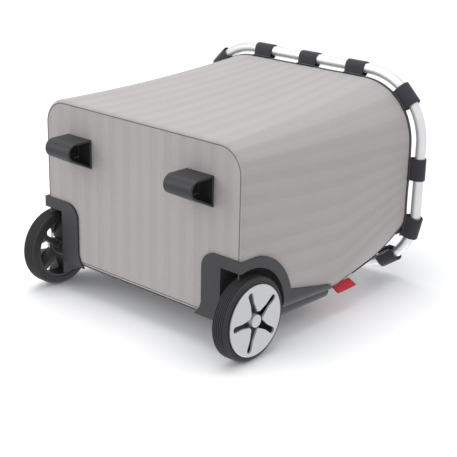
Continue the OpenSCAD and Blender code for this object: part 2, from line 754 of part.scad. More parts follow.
module lower_bracket() color(BLACK) difference() {
    union() {
        mirrored() at_column() translate([0, 0, floor_z]) cylinder(r = socket_r, h = socket_h);
        translate([-column_x, column_y - web_t / 2, floor_z]) cube([column_gap, web_t, socket_h]);
        for (x = bracket_screw_x) translate([x - 8, column_y - web_t / 2, floor_z])
            cube([16, back_y0 - fabric_t - column_y + web_t / 2 - skin_gap, socket_h]);
    }
    mirrored() at_column() translate([0, 0, floor_z + socket_floor])
        cylinder(r = outer_r + running_gap, h = socket_h);
    bracket_hole_row(screw_clear_r, column_y + web_t / 2 - 1, back_y0 + 20);
}

module top_bracket() color(BLACK) difference() {
    h = outer_top_z - bracket_z0;
    union() {
        mirrored() at_column() translate([0, 0, bracket_z0]) cylinder(r = socket_r + 2, h = h);
        translate([-column_x, column_y - 8, bracket_z0]) cube([column_gap, 16, h]);
        mirrored() translate([clamp_x0, column_y, bracket_z0])
            cube([clamp_x1 - clamp_x0, rim_back_y - column_y, h]);
    }
    mirrored() at_column() translate([0, 0, bracket_z0 - 1])
        cylinder(r = outer_r + running_gap, h = h + 2);
    translate([0, rim_back_y, rim_z]) rod_x(rim_r + running_gap, -rim_cx, rim_cx);
    clamp_screw_holes();
}

module clamp_screw_holes() mirrored() for (x = clamp_screw_x)
    translate([x, rim_back_y - 15, clamp_screw_z]) rotate([-90, 0, 0])
        cylinder(r = screw_clear_r, h = 40);

module rim_clamps() color(BLACK) difference() {
    mirrored() translate([clamp_x0, rim_back_y, bracket_z0])
        cube([clamp_x1 - clamp_x0, clamp_t, outer_top_z - bracket_z0]);
    translate([0, rim_back_y, rim_z]) rod_x(rim_r + running_gap, -rim_cx, rim_cx);
    clamp_screw_holes();
}

// ---- telescopic handle ----------------------------------------------------------------------

module outer_tube() at_column()
    tube(outer_r, outer_r - outer_tube_wall, floor_z + socket_floor, outer_top_z);
module middle_tube() at_column()
    tube(middle_r, middle_r - slide_tube_wall, middle_bottom_z, middle_top_z);
module inner_tube() at_column()
    tube(inner_r, inner_r - slide_tube_wall, inner_bottom_z, inner_top_z);

module outer_tube_right() color(SILVER) outer_tube();
module outer_tube_left() color(SILVER) mirror([1, 0, 0]) outer_tube();
module middle_tube_right() color(SILVER) middle_tube();
module middle_tube_left() color(SILVER) mirror([1, 0, 0]) middle_tube();
module inner_tube_right() color(SILVER) inner_tube();
module inner_tube_left() color(SILVER) mirror([1, 0, 0]) inner_tube();

// A flanged bush: its sleeve fits the tube round it, its bore guides the tube in it.
module guide_bush(tube_bore_r, guided_r, flange_r, z0, z1) at_column() {
    tube(tube_bore_r - running_gap, guided_r + running_gap, z0, z1);
    tube(flange_r, guided_r + running_gap, z1, z1 + bush_flange_h);
}

module outer_bushes() color(BLACK) mirrored()
    guide_bush(outer_r - outer_tube_wall, middle_r, socket_r, outer_bush_z, outer_top_z);
module middle_bushes() color(BLACK) mirrored()
    guide_bush(middle_r - slide_tube_wall, inner_r, middle_r + 1.5, middle_bush_z, middle_top_z);

// A plug on the bottom end of a sliding tube: a spigot in the tube and a slider round it.
module guide_plug(tube_r, bore_r, z0) at_column() {
    tube(tube_r - slide_tube_wall - running_gap, rod_r + easy_gap, z0, z0 + plug_h);
    translate([0, 0, z0]) tube(bore_r - skin_gap, rod_r + easy_gap, -2, 0);
}

module middle_plugs() color(BLACK) mirrored()
    guide_plug(middle_r, outer_r - outer_tube_wall, middle_bottom_z);
module inner_plugs() color(BLACK) mirrored()
    guide_plug(inner_r, middle_r - slide_tube_wall, inner_bottom_z);

module middle_bridge() color(BLACK) difference() {
    union() {
        mirrored() at_column() translate([0, 0, bridge_z]) cylinder(r = socket_r, h = bridge_h);
        translate([-column_x, column_y - 5, bridge_z]) cube([column_gap, 10, bridge_h]);
    }
    mirrored() at_column() translate([0, 0, bridge_z - 1])
        cylinder(r = middle_r + running_gap, h = bridge_h + 2);
}

// The grip's outer form: a bar with two legs down to the inner tubes.
module grip_form(r) {
    translate([0, column_y, grip_axis_z]) rod_x(r, -column_x, column_x);
    mirrored() translate([column_x, column_y, grip_axis_z]) sphere(r = r);
    mirrored() at_column() translate([0, 0, grip_leg_z])
        cylinder(r = r, h = grip_axis_z - grip_leg_z);
}

module grip_hollow() translate([0, column_y, grip_axis_z])
    rod_x(grip_r - grip_wall, -column_x - 3, column_x + 3);

module grip_screw_holes() mirrored() translate([pillar_x, column_y, grip_axis_z - 15])
    cylinder(r = screw_clear_r, h = 15 + grip_r - grip_wall - 1);

module below_seam() translate([-column_gap, column_y - 30, grip_leg_z - 1])
    cube([2 * column_gap, 60, grip_axis_z - grip_leg_z + 1]);

module screw_pillars() mirrored() translate([pillar_x, column_y, grip_axis_z - grip_r + 1])
    cylinder(r = pillar_r, h = 2 * grip_r - 2);

module grip_shell() difference() {
    union() {
        difference() {
            grip_form(grip_r);
            grip_hollow();
        }
        intersection() {
            screw_pillars();
            grip_form(grip_r);
        }
    }
    mirrored() at_column() translate([0, 0, grip_leg_z - 1])
        cylinder(r = inner_r + running_gap, h = inner_top_z - grip_leg_z + 1);
    mirrored() at_column() translate([0, 0, grip_leg_z])
        cylinder(r = rod_r + 2, h = grip_axis_z - grip_leg_z);
    grip_screw_holes();
    translate([0, column_y, grip_axis_z + 10]) cube([button_w + 2 * skin_gap,
                                                     button_d + 2 * skin_gap, 20], center = true);
}

module grip_lower() color(BLACK) intersection() {
    grip_shell();
    below_seam();
}
module grip_upper() color(BLACK) difference() {
    grip_shell();
    below_seam();
}
module grip_screws() color(STEEL) mirrored()
    translate([pillar_x, column_y, grip_axis_z - grip_r]) rotate([180, 0, 0]) screw(16);

// The button, and the yoke that reaches past the screw pillars to the two release rods.
module release_button() color(BLACK) {
    y = -pillar_r - easy_gap - yoke_w;
    translate([0, column_y, (yoke_z + button_top_z) / 2])
        cube([button_w, button_d, button_top_z - yoke_z], center = true);
    translate([-column_x - yoke_tab, column_y + y, yoke_z])
        cube([column_gap + 2 * yoke_tab, yoke_w, yoke_h]);
    mirrored() translate([column_x - yoke_tab, column_y + y, yoke_z])
        cube([2 * yoke_tab, rod_r + embed - y, yoke_h]);
}

module release_rods() color(STEEL) mirrored() at_column()
    translate([0, 0, inner_bottom_z + 2]) cylinder(r = rod_r, h = yoke_z - inner_bottom_z - 2);

module button_spring() color(STEEL) translate([0, column_y, 0])
    tube(spring_r, spring_r - spring_wall, spring_z, yoke_z - skin_gap);

// ---- the trolley ----------------------------------------------------------------------------

basket_wrap();
basket_back();
basket_bottom();
edge_binding();
base_board();
back_liner();
seam_tag();
rim_tube();
rim_spigot();
rim_loops();
wheel_housing_right();
wheel_housing_left();
back_plate();
housing_screws();
axle_right();
axle_left();
axle_washers();
axle_clips();
tyre_right();
tyre_left();
wheel_core_right();
wheel_core_left();
wheel_cap_right();
wheel_cap_left();
hub_disc_right();
hub_disc_left();
wheel_bushes_right();
wheel_bushes_left();
foot_right();
foot_left();
foot_screws();
lower_bracket();
bracket_screws();
top_bracket();
rim_clamps();
clamp_screws();
outer_tube_right();
outer_tube_left();
outer_bushes();
middle_tube_right();
middle_tube_left();
middle_bridge();
middle_bushes();
middle_plugs();
inner_tube_right();
inner_tube_left();
inner_plugs();
grip_lower();
grip_upper();
grip_screws();
release_button();
release_rods();
button_spring();
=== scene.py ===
import json
import math

import bmesh
import bpy
import numpy as np
from mathutils import Matrix, Vector


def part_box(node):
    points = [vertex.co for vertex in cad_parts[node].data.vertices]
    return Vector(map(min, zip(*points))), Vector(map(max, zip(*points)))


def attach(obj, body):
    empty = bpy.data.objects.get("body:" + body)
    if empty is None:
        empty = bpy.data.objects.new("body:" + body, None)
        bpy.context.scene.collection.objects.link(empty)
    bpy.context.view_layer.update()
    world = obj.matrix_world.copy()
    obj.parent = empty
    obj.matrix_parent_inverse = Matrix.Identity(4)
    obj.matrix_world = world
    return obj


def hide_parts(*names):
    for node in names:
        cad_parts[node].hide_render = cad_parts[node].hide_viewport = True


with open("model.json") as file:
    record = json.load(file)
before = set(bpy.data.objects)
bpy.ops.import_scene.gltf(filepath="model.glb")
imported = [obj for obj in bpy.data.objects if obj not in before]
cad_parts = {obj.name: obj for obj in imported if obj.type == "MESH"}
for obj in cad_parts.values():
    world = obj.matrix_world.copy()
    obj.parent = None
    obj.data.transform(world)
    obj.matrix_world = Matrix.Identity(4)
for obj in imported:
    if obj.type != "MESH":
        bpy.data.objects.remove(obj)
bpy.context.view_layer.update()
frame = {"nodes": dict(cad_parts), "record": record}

# ---- sizes, in millimetres, the same as the CAD's ---------------------------------------------
MM = 0.001
BASE_Z, WALL_H = 41.0, 345.0
TOP_Z = BASE_Z + WALL_H
SIDE_X, SIDE_FLARE = 184.0, 8.5
FRONT_Y, FRONT_FLARE = -119.05, 22.5
BACK_Y, BACK_FLARE = 113.45, 14.5
FRONT_R, BACK_R, TOP_R = 38.0, 14.0, 84.0
BACK_START, EDGE_RISE = 200.0, 10.0
NOTCH_DEPTH, NOTCH_ANGLE, BACK_DROP = 84.0, 10.0, 4.0
RIM_LIFT, RIM_REACH = 11.0, 10.0
RIM_Z = TOP_Z + RIM_LIFT
RIM_X = SIDE_X + SIDE_FLARE + RIM_REACH
RIM_FRONT = FRONT_Y - FRONT_FLARE - RIM_REACH
RIM_BACK = BACK_Y + BACK_FLARE + RIM_REACH
RIM_CORNER = TOP_R + RIM_REACH
RIM_CX = RIM_X - RIM_CORNER
RIM_FRONT_CY, RIM_BACK_CY = RIM_FRONT + RIM_CORNER, RIM_BACK - RIM_CORNER
CLOTH_T, FLOOR_T = 2.0, 1.8     # cloth of the walls and of the bottom panel
FOLD_R = 5.0           # rounding where a wall turns into the bottom panel
WEB_T, WEB_W = 1.5, 32.0
LOOP_R, CURVED_LOOP_R = 8.7, 9.7
TAIL_IN, TAIL_OUT = 20.0, 3.2
SEAM_ANGLE, TAG_TURN = 55.0, 30.0
SEAM_TOP = TOP_Z - NOTCH_DEPTH - 1
STRAP_LOW, STRAP_END = SEAM_TOP - 11, 6.0
WHEEL_R = 56.0
AXLE_Y, AXLE_Z = 104.95, WHEEL_R
WELL_CUT_R, WELL_CUT_X, WELL_CUT_L = 69.0, 149.0, 120.0
STRIP_TOP = 228.0
FOOT_X, FOOT_Y, FOOT_W, FOOT_L, FOOT_NOSE = 112.5, -74.05, 49.0, 41.0, 13.0


# ---- materials ---------------------------------------------------------------------------------
def srgb(code):
    """Linear colour of an sRGB hex code."""
    c = [int(code[i:i + 2], 16) / 255 for i in (1, 3, 5)]
    return [x / 12.92 if x <= 0.04045 else ((x + 0.055) / 1.055) ** 2.4 for x in c] + [1.0]


def add(tree, kind, links=None, **settings):
    """A node with its settings and its sockets set or linked."""
    n = tree.nodes.new(kind)
    for name, value in settings.items():
        setattr(n, name, value)
    for key, value in (links or {}).items():
        if isinstance(value, bpy.types.NodeSocket):
            tree.links.new(value, n.inputs[key])
        else:
            n.inputs[key].default_value = value
    return n


def math_of(tree, operation, *values):
    return add(tree, "ShaderNodeMath", dict(enumerate(values)), operation=operation).outputs[0]


def material(name, **surface):
    """A new material with its Principled shader's uniform values set on the sockets."""
    m = bpy.data.materials.new(name)
    m.use_nodes = True
    shader = m.node_tree.nodes["Principled BSDF"]
    for key, value in surface.items():
        shader.inputs[key.replace("_", " ")].default_value = value
    return m, m.node_tree, shader


def tint(tree, shader, base, *layers):
    """Base colour times (1 + amount x (value - 0.5)) for each layer of (value, amount)."""
    colour = add(tree, "ShaderNodeRGB")
    colour.outputs[0].default_value = srgb(base)
    factor = 1.0
    for value, amount in layers:
        part = math_of(tree, "MULTIPLY_ADD", value, amount, 1 - amount / 2)
        factor = math_of(tree, "MULTIPLY", factor, part)
    mix = add(tree, "ShaderNodeVectorMath", {0: colour.outputs[0], "Scale": factor},
              operation="SCALE")
    tree.links.new(mix.outputs[0], shader.inputs["Base Color"])


def noise(tree, place, scale, detail=2.0):
    return add(tree, "ShaderNodeTexNoise", {"Vector": place, "Scale": scale, "Detail": detail}
               ).outputs[0]


def spread(tree, value, low, high):
    """Value from 0..1 stretched to low..high."""
    return math_of(tree, "MULTIPLY_ADD", value, high - low, low)


def relief(tree, shader, height, distance, strength=1.0, edge=0.0):
    """Bump from a height field, over a softened edge where edge is a radius in metres."""
    links = {"Height": height, "Distance": distance, "Strength": strength}
    if edge:
        links["Normal"] = add(tree, "ShaderNodeBevel", {"Radius": edge}, samples=6).outputs[0]
    bump = add(tree, "ShaderNodeBump", links)
    tree.links.new(bump.outputs[0], shader.inputs["Normal"])


# Polyester herringbone: columns 6.5 mm wide, threads 2.6 mm apart, light warm grey, with a painted
# sheen on alternate bands.
def herringbone(name, base):
    m, t, s = material(name, Roughness=0.86, Sheen_Weight=0.18, Sheen_Roughness=0.5,
                       Specular_IOR_Level=0.25)
    uv = add(t, "ShaderNodeUVMap", uv_map="flat").outputs[0]
    xyz = add(t, "ShaderNodeSeparateXYZ", {0: uv}).outputs
    zig = math_of(t, "PINGPONG", xyz[0], 0.0065)
    along = math_of(t, "ADD", xyz[1], zig)
    thread = math_of(t, "DIVIDE", math_of(t, "PINGPONG", along, 0.0013), 0.0013)
    # Painted sheen: alternate bands 13 mm wide are made lighter or darker, standing in for light
    # reflecting differently off the twill's two directions.
    column = math_of(t, "FRACT", math_of(t, "DIVIDE", xyz[0], 0.026))
    column = math_of(t, "GREATER_THAN", column, 0.5)
    streaks = add(t, "ShaderNodeVectorMath", {0: uv, 1: (90.0, 5.0, 1.0)}, operation="MULTIPLY")
    streak = noise(t, streaks.outputs[0], 1.0, 3.0)
    broad = noise(t, uv, 14.0)
    fibre = noise(t, uv, 900.0, 1.0)
    tint(t, s, base, (thread, 0.46), (column, 0.05), (streak, 0.09), (broad, 0.06),
         (fibre, 0.16))
    height = math_of(t, "MULTIPLY_ADD", fibre, 0.5, thread)
    relief(t, s, height, 0.00018, 0.8)
    t.links.new(spread(t, streak, 0.8, 0.92), s.inputs["Roughness"])
    return m


# Flat woven tape or cloth: ribs across its length, rib spacing in metres.
def woven(name, base, rib, across, sheen=0.25):
    m, t, s = material(name, Roughness=0.82, Sheen_Weight=sheen, Sheen_Roughness=0.4,
                       Specular_IOR_Level=0.3)
    uv = add(t, "ShaderNodeUVMap", uv_map="flat").outputs[0]
    xyz = add(t, "ShaderNodeSeparateXYZ", {0: uv}).outputs
    weft = math_of(t, "DIVIDE", math_of(t, "PINGPONG", xyz[1], rib / 2), rib / 2)
    warp = math_of(t, "DIVIDE", math_of(t, "PINGPONG", xyz[0], across / 2), across / 2)
    cell = math_of(t, "MULTIPLY", weft, warp)
    fibre = noise(t, uv, 1200.0, 1.0)
    worn = noise(t, uv, 45.0)
    tint(t, s, base, (cell, 0.5), (fibre, 0.3), (worn, 0.25))
    relief(t, s, cell, 0.00022, 0.9)
    t.links.new(spread(t, worn, 0.74, 0.9), s.inputs["Roughness"])
    return m


# Cloth over board, on parts without a flat map: a fine plain weave from the object's own place.
def covered_board(name, base):
    m, t, s = material(name, Roughness=0.9, Sheen_Weight=0.2, Specular_IOR_Level=0.2)
    place = add(t, "ShaderNodeTexCoord").outputs["Object"]
    xyz = add(t, "ShaderNodeSeparateXYZ", {0: place}).outputs
    lines = [math_of(t, "DIVIDE", math_of(t, "PINGPONG", a, 0.0006), 0.0006) for a in
             (xyz[0], math_of(t, "ADD", xyz[1], xyz[2]))]
    cell = math_of(t, "MULTIPLY", *lines)
    broad = noise(t, place, 30.0)
    tint(t, s, base, (cell, 0.35), (broad, 0.3), (noise(t, place, 1500.0), 0.2))
    relief(t, s, cell, 0.00015, 0.7, edge=0.0006)
    t.links.new(spread(t, broad, 0.84, 0.95), s.inputs["Roughness"])
    return m


# Moulded plastic: fine spark-eroded grain, faint flow variation, softened edges, and convex edges
# lightened in the colour as a painted highlight.
def moulded(name, base, rough, grain, edge):
    m, t, s = material(name, Roughness=rough, Specular_IOR_Level=0.45)
    place = add(t, "ShaderNodeTexCoord").outputs["Object"]
    fine = noise(t, place, grain, 2.0)
    broad = noise(t, place, 22.0, 3.0)
    # Painted highlight: the colour is made lighter on convex edges, which are picked out by their
    # pointiness.
    edge_highlight = add(t, "ShaderNodeNewGeometry").outputs["Pointiness"]
    edge_highlight = add(t, "ShaderNodeMapRange", {"Value": edge_highlight, "From Min": 0.5, "From Max": 0.6}
                 ).outputs[0]
    tint(t, s, base, (fine, 0.12), (broad, 0.14), (edge_highlight, 0.12))
    relief(t, s, fine, 0.00006, 0.5, edge)
    t.links.new(spread(t, broad, rough - 0.05, rough + 0.08), s.inputs["Roughness"])
    return m


# Metal or metallic lacquer: fine drawing lines along one axis, small smears in the finish.
def metal(name, base, rough, lines, metallic, edge=0.0004):
    m, t, s = material(name, Roughness=rough, Metallic=metallic)
    place = add(t, "ShaderNodeTexCoord").outputs["Object"]
    drawn = add(t, "ShaderNodeVectorMath", {0: place, 1: lines}, operation="MULTIPLY")
    line = noise(t, drawn.outputs[0], 1.0, 2.0)
    smear = noise(t, place, 28.0, 3.0)
    tint(t, s, base, (line, 0.05), (smear, 0.06))
    relief(t, s, line, 0.00002, 0.35, edge)
    t.links.new(spread(t, smear, rough - 0.04, rough + 0.08), s.inputs["Roughness"])
    return m


# Tyre rubber: dull, with dust in the fine texture.
def rubber(name, base):
    m, t, s = material(name, Roughness=0.62, Specular_IOR_Level=0.4)
    place = add(t, "ShaderNodeTexCoord").outputs["Object"]
    fine = noise(t, place, 1600.0, 2.0)
    dust = noise(t, place, 60.0, 4.0)
    tint(t, s, base, (fine, 0.25), (dust, 0.3))
    relief(t, s, fine, 0.00008, 0.6, edge=0.0004)
    t.links.new(spread(t, dust, 0.55, 0.75), s.inputs["Roughness"])
    return m


FABRIC = herringbone("herringbone_polyester_light_grey", "#a7a2a0")
WEBBING = woven("nylon_webbing_anthracite", "#3a3a40", 0.0016, 0.0011)
TAPE = woven("binding_tape_dark_grey", "#454548", 0.0010, 0.0008)
SEAM = woven("seam_piping_grey", "#6b6866", 0.0008, 0.0008)
THREAD = woven("polyester_thread_dark", "#55555a", 0.0004, 0.0004, 0.4)
RED = woven("satin_label_red", "#cf2233", 0.0005, 0.0004, 0.35)
RED_THREAD = woven("polyester_thread_red", "#8e1521", 0.0004, 0.0004, 0.3)
BOARD = covered_board("cloth_covered_board_dark", "#3b3b3e")
BLACK = moulded("polypropylene_black_fine_grain", "#353536", 0.46, 2200.0, 0.0009)
FOOT = moulded("polypropylene_black_smooth_feet", "#29292b", 0.42, 2600.0, 0.0)
BUSH = moulded("acetal_black_plain", "#343435", 0.36, 1800.0, 0.0005)
GRIP = moulded("soft_touch_grip_charcoal", "#333335", 0.62, 3000.0, 0.0006)
BUTTON = moulded("smooth_abs_button_grey", "#8a8a8d", 0.30, 2500.0, 0.0008)
TUBE = metal("satin_anodised_aluminium", "#e3e3e4", 0.34, (40.0, 40.0, 900.0), 0.9)
RAIL = metal("satin_anodised_aluminium_rim", "#e6e6e6", 0.36, (600.0, 600.0, 2500.0), 0.75)
CAP = metal("silver_lacquered_moulding", "#cacacb", 0.38, (1500.0, 1500.0, 1500.0), 0.35, 0.0007)
STEEL = metal("zinc_plated_steel", "#b4b6b9", 0.32, (900.0, 900.0, 900.0), 1.0)
RUBBER = rubber("tyre_rubber_black", "#2c2c2d")

BY_SLOT = {"lining_board": BOARD, "tube_aluminium": TUBE, "cap_silver": CAP,
           "tyre_rubber": RUBBER, "black_plastic": BLACK, "bush_plastic": BUSH,
           "grip_plastic": GRIP, "button_plastic": BUTTON, "zinc_steel": STEEL,
           "basket_fabric": FABRIC, "webbing": WEBBING, "tag_cloth": RED}
for part in frame["record"]["subparts"]:
    mesh = frame["nodes"][part["node"]].data
    mesh.materials.clear()
    mesh.materials.append(BY_SLOT[part["material_slot"]])
rail = frame["nodes"]["rim_tube"].data.materials
rail.clear()
rail.append(RAIL)


# ---- mesh helpers ------------------------------------------------------------------------------
def piece(name, points, faces, skin, replaces=(), flat=None, body="frame", smooth=40.0):
    """A mesh piece from points in millimetres, riding on a body. flat is a map point in metres
    for each point of the mesh."""
    mesh = bpy.data.meshes.new(name)
    mesh.from_pydata([[c * MM for c in p] for p in points], [], faces)
    if flat is not None:
        layer = mesh.uv_layers.new(name="flat")
        corner = np.zeros(len(mesh.loops), int)
        mesh.loops.foreach_get("vertex_index", corner)
        layer.data.foreach_set("uv", np.asarray(flat, float)[corner].ravel())
    o = bpy.data.objects.new(name, mesh)
    bpy.context.scene.collection.objects.link(o)
    tidy(o, smooth)
    mesh.materials.append(skin)
    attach(o, body)
    if replaces:
        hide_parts(*replaces)
    return o


def tidy(o, smooth):
    """Normals outward and edges sharper than an angle left sharp."""
    bm = bmesh.new()
    bm.from_mesh(o.data)
    bmesh.ops.recalc_face_normals(bm, faces=bm.faces)
    for e in bm.edges:
        e.smooth = len(e.link_faces) != 2 or e.calc_face_angle(0.0) < math.radians(smooth)
    for f in bm.faces:
        f.smooth = True
    bm.to_mesh(o.data)
    bm.free()


def applied(o, *modifiers):
    """The object's mesh with these modifiers applied, each as (type, settings)."""
    for kind, settings in modifiers:
        m = o.modifiers.new(kind.lower(), kind)
        for key, value in settings.items():
            setattr(m, key, value)
    bpy.context.view_layer.update()
    done = bpy.data.meshes.new_from_object(
        o.evaluated_get(bpy.context.evaluated_depsgraph_get()))
    o.modifiers.clear()
    o.data = done


def rows_faces(rows, n, closed=True, wrap=False, start=0):
    """Quads of a grid of rows of n points; closed joins each row's ends, wrap the last row to
    the first."""
    last = rows if wrap else rows - 1
    across = n if closed else n - 1
    return [[start + j * n + i, start + j * n + (i + 1) % n,
             start + (j + 1) % rows * n + (i + 1) % n, start + (j + 1) % rows * n + i]
            for j in range(last) for i in range(across)]


# ---- the basket's surface ----------------------------------------------------------------------
# Columns on a corner of the basket: (sign in X, sign in Y, angle).
def arc(cx, cy, a0, a1, n=22):
    return [(cx, cy, math.radians(a0 + (a1 - a0) * i / n)) for i in range(n + 1)]


ARCS = [arc(1, 1, 90, 0), arc(1, -1, 0, 90), arc(-1, -1, 90, 0), arc(-1, 1, 0, 90)]
STRAIGHT = [18, 26, 18, 26]


def ring(height, off):
    """One row round the basket at a height, or a height for each column, moved out by off."""
    grow = np.clip((np.asarray(height, float) - BASE_Z) / WALL_H, 0, 1.02)
    n = sum(len(a) for a in ARCS) + sum(STRAIGHT)
    grow = np.broadcast_to(grow, n)
    z = np.broadcast_to(np.asarray(height, float), n)
    off = np.broadcast_to(np.asarray(off, float), n)
    out = np.zeros((n, 3))

    def at(cx, cy, a, k):
        side = SIDE_X + SIDE_FLARE * grow[k] ** 1.5
        if cy < 0:
            r = FRONT_R + (TOP_R - FRONT_R) * grow[k]
            y = FRONT_Y - FRONT_FLARE * grow[k] ** 1.7 + r
        else:
            opening = (grow[k] * WALL_H - BACK_START) / (WALL_H - EDGE_RISE - BACK_START)
            r = BACK_R + (TOP_R - BACK_R) * min(1.0, max(0.0, opening))
            y = BACK_Y + BACK_FLARE * grow[k] ** 2.2 - r
        return np.array([cx * (side - r + (r + off[k]) * math.cos(a)),
                         y + cy * (r + off[k]) * math.sin(a), z[k]])

    k = 0
    for s, columns in enumerate(ARCS):
        for c in columns:
            out[k] = at(*c, k)
            k += 1
        following = ARCS[(s + 1) % 4][0]
        for i in range(STRAIGHT[s]):
            share = (i + 1) / (STRAIGHT[s] + 1)
            p, q = at(*columns[-1], k), at(*following, k)
            out[k] = p + (q - p) * share
            k += 1
    return out


COLUMNS = len(ring(TOP_Z, 0.0))


def notch(angle):
    """Drop of the top edge on a back corner: down to the seam, and up again to the back."""
    a = math.degrees(angle)
    if a < SEAM_ANGLE:
        return NOTCH_DEPTH * max(0.0, (a - NOTCH_ANGLE) / (SEAM_ANGLE - NOTCH_ANGLE))
    return BACK_DROP + (NOTCH_DEPTH - BACK_DROP) * (90 - a) / (90 - SEAM_ANGLE)


def dips():
    """How far the CAD's top edge dips at each column."""
    out = []
    for s, columns in enumerate(ARCS):
        out += [notch(a) if cy > 0 else 0.0 for _, cy, a in columns]
        out += [BACK_DROP if s == 3 else 0.0] * STRAIGHT[s]
    return np.array(out)


def lengths(points):
    """Distance along a closed row of points, up to each point, and all the way round."""
    step = np.linalg.norm(np.roll(points, -1, 0) - points, axis=1)
    return np.concatenate([[0], np.cumsum(step)[:-1]]), step.sum()


# A loop: its place on the rim, its direction outward, and whether the rim is curved there.
def corner_place(cx, cy, angle):
    a = math.radians(angle)
    d = np.array([cx * math.cos(a), cy * math.sin(a), 0.0])
    c = np.array([cx * RIM_CX, RIM_FRONT_CY if cy < 0 else RIM_BACK_CY, 0.0])
    return c + RIM_CORNER * d, d, True


LOOPS = [(np.array([x, RIM_FRONT, 0.0]), np.array([0.0, -1.0, 0.0]), False)
         for x in (22.5 - RIM_CX, 0.0, RIM_CX - 22.5)]
LOOPS += [(np.array([s * RIM_X, RIM_FRONT_CY + 35.5, 0.0]), np.array([s * 1.0, 0.0, 0.0]), False)
          for s in (-1, 1)]
LOOPS += [corner_place(s, -1, 45) for s in (-1, 1)]
LOOPS += [corner_place(s, 1, a) for s in (-1, 1) for a in (13, 55)]
LOOPS += [(np.array([0.0, RIM_BACK, 0.0]), np.array([0.0, 1.0, 0.0]), False)]

TOP_RING = ring(TOP_Z, 0.0)
ROUND_S, ROUND_L = lengths(ring((BASE_Z + TOP_Z) / 2, 0.0))
TOP_S, TOP_L = lengths(TOP_RING)


def edge_sag():
    """Drop of the edge between the loops that carry it, deeper on the longer stretches."""
    held = sorted(TOP_S[np.argmin(np.linalg.norm(TOP_RING[:, :2] - p[:2], axis=1))]
                  for p, _, _ in LOOPS)
    out = np.zeros(COLUMNS)
    for a, b in zip(held, held[1:] + [held[0] + TOP_L]):
        for k in range(COLUMNS):
            s = TOP_S[k] if TOP_S[k] >= held[0] else TOP_S[k] + TOP_L
            if a <= s <= b:
                out[k] = min(1.4, (b - a) * 0.012) * math.sin(math.pi * (s - a) / (b - a))
    return out


SAG = edge_sag()
EDGE = TOP_Z - dips() - SAG


def slack(share):
    """Soft unevenness of the walls, away from the bottom fold and the top edge, and the pull
    inward under the sagging stretches of the edge."""
    k = 2 * math.pi / ROUND_L
    soft = math.sin(math.pi * min(1.0, share)) ** 0.7
    wave = (np.sin(k * 5 * ROUND_S + 3.1 * share) * 0.35
            + np.sin(k * 11 * ROUND_S - 4.7 * share + 1.3) * 0.22
            + np.sin(k * 17 * ROUND_S + 9.0 * share + 0.4) * 0.12)
    return wave * soft - 0.45 * SAG * share ** 6 - 0.35 * soft


def cut_wells(o, thick):
    """Gives a cloth its thickness and cuts the two wheel wells out of it."""
    cutters = []
    for s in (-1, 1):
        bm = bmesh.new()
        middle = Vector((s * (WELL_CUT_X + WELL_CUT_L / 2), AXLE_Y, AXLE_Z)) * MM
        place = (Matrix.Translation(middle)
                 @ Matrix.Rotation(math.radians(90), 4, "Y"))
        bmesh.ops.create_cone(bm, segments=64, radius1=WELL_CUT_R * MM, radius2=WELL_CUT_R * MM,
                              depth=WELL_CUT_L * MM, cap_ends=True, matrix=place)
        mesh = bpy.data.meshes.new("well_cutter")
        bm.to_mesh(mesh)
        bm.free()
        c = bpy.data.objects.new("well_cutter", mesh)
        bpy.context.scene.collection.objects.link(c)
        cutters.append(c)
    applied(o, ("SOLIDIFY", {"thickness": thick * MM, "offset": -1.0}),
            *[("BOOLEAN", {"operation": "DIFFERENCE", "object": c, "solver": "EXACT"})
              for c in cutters])
    for c in cutters:
        bpy.data.objects.remove(c)
    tidy(o, 50)


def walls():
    rows, flat = [], []
    for phi in np.linspace(0, math.pi / 2, 7)[:-1]:
        z = BASE_Z + FOLD_R * (1 - math.cos(phi))
        rows.append(ring(z, -FOLD_R * (1 - math.sin(phi))))
        flat.append(z - FOLD_R * (1 - math.sin(phi)))
    for share in np.linspace(0, 1, 64):
        low = BASE_Z + FOLD_R
        rows.append(ring(low + (EDGE - low) * share, slack(share)))
        flat.append(low + (TOP_Z - low) * share)
    points = np.concatenate(rows)
    uv = [(ROUND_S[i] * MM, v * MM) for v in flat for i in range(COLUMNS)]
    o = piece("basket_walls", points, rows_faces(len(rows), COLUMNS), FABRIC,
              ("basket_wrap", "basket_back"), uv, smooth=60)
    cut_wells(o, CLOTH_T)
    return o


WALLS = walls()


def bottom():
    """The bottom panel: rings from its edge in to its middle, a little slack between."""
    edge = ring(BASE_Z, -FOLD_R - 0.15)
    middle = np.array([0.0, (edge[:, 1].max() + edge[:, 1].min()) / 2, BASE_Z])
    shares = [0, 0.02, 0.05, 0.1, 0.18, 0.28, 0.4, 0.52, 0.64, 0.76, 0.88, 0.96]
    points = []
    for s in shares:
        for p in edge:
            q = p + (middle - p) * s
            soft = math.sin(math.pi * min(1, s * 1.1)) * 0.22
            q[2] = BASE_Z + 0.02 + soft * (1 + math.sin(q[0] * 0.021 + 1.0)
                                           * math.cos(q[1] * 0.03 + 0.4))
            points.append(q)
    n = len(edge)
    faces = rows_faces(len(shares), n)
    points.append(middle + np.array([0, 0, 0.2]))
    top = (len(shares) - 1) * n
    faces += [[top + i, top + (i + 1) % n, len(points) - 1] for i in range(n)]
    o = piece("basket_floor", points, faces, FABRIC, ("basket_bottom",),
              [(p[0] * MM + 0.0021, p[1] * MM) for p in points], smooth=60)
    if o.data.polygons[0].normal.z > 0:
        o.data.flip_normals()
    cut_wells(o, FLOOR_T)
    return o


FLOOR_PANEL = bottom()


